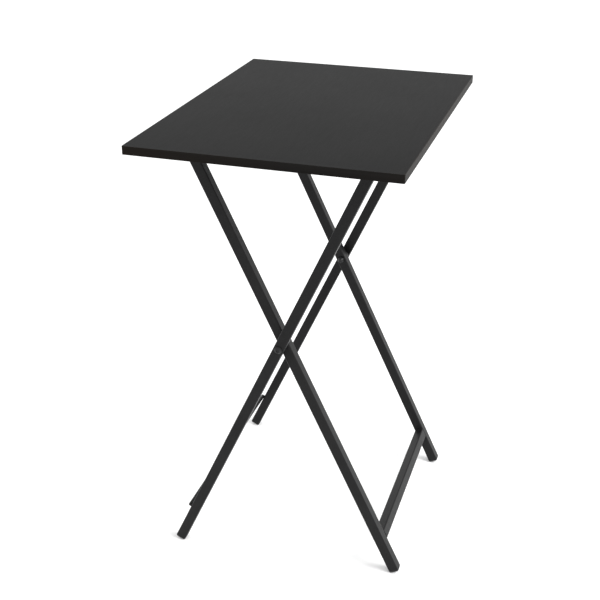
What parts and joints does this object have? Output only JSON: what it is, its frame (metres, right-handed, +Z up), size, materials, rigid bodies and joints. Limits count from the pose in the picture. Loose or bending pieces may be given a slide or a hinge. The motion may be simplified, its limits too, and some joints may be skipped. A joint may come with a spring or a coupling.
{
  "type": "folding tray table",
  "caption": "Folding tray table with a flat rectangular top on crossed square-tube leg frames that fold like scissors.",
  "frame": {"origin": "on the floor, under the middle of the table top", "axes": "+X across the top, from the inner frame's rail to the outer frame's rail; +Y along the top and the pivot axis; +Z up"},
  "size_m": [0.38, 0.515, 0.69],
  "materials": {
    "board_core": "raw fibreboard",
    "laminate": "fine-grained charcoal laminate",
    "edge_band": "matte black edge band",
    "frame_metal": "satin black powder coat",
    "moulded_plastic": "fine matte moulding",
    "black_steel": "black coated steel",
    "zinc_steel": "zinc plated"
  },
  "bodies": {
    "inner_frame": {"inner_leg_front": "frame_metal", "inner_leg_rear": "frame_metal", "inner_stretcher": "frame_metal", "inner_top_rail": "frame_metal", "inner_foot_front": "moulded_plastic", "inner_foot_rear": "moulded_plastic", "inner_plug_front": "moulded_plastic", "inner_plug_rear": "moulded_plastic"},
    "outer_frame": {"outer_leg_front": "frame_metal", "outer_leg_rear": "frame_metal", "outer_lower_rod": "frame_metal", "outer_top_rail": "frame_metal", "outer_foot_front": "moulded_plastic", "outer_foot_rear": "moulded_plastic", "outer_plug_front": "moulded_plastic", "outer_plug_rear": "moulded_plastic", "pivot_bolt_front": "black_steel", "pivot_bolt_rear": "black_steel", "pivot_washers": "black_steel", "pivot_spacer_front": "moulded_plastic", "pivot_spacer_rear": "moulded_plastic", "pivot_nuts": "black_steel"},
    "tabletop": {"board_core": "board_core", "top_laminate": "laminate", "bottom_laminate": "laminate", "edge_band_front": "edge_band", "edge_band_rear": "edge_band", "edge_band_left": "edge_band", "edge_band_right": "edge_band", "hinge_saddle_front": "moulded_plastic", "hinge_saddle_rear": "moulded_plastic", "snap_clip_front": "moulded_plastic", "snap_clip_rear": "moulded_plastic", "hinge_screws": "zinc_steel", "clip_screws": "zinc_steel"}
  },
  "joints": [
    {"name": "leg_fold", "type": "hinge", "parent": "inner_frame", "child": "outer_frame", "pos_m": [0.00175, 0, 0.3815], "axis": [0, -1, 0], "range_deg": [0, 46]},
    {"name": "top_tilt", "type": "hinge", "parent": "inner_frame", "child": "tabletop", "pos_m": [-0.13408, 0, 0.665], "axis": [0, -1, 0], "range_deg": [0, 115]}
  ],
  "couplings": [
    {"joint": "top_tilt", "follows": "leg_fold", "ratio": 2.5}
  ]
}
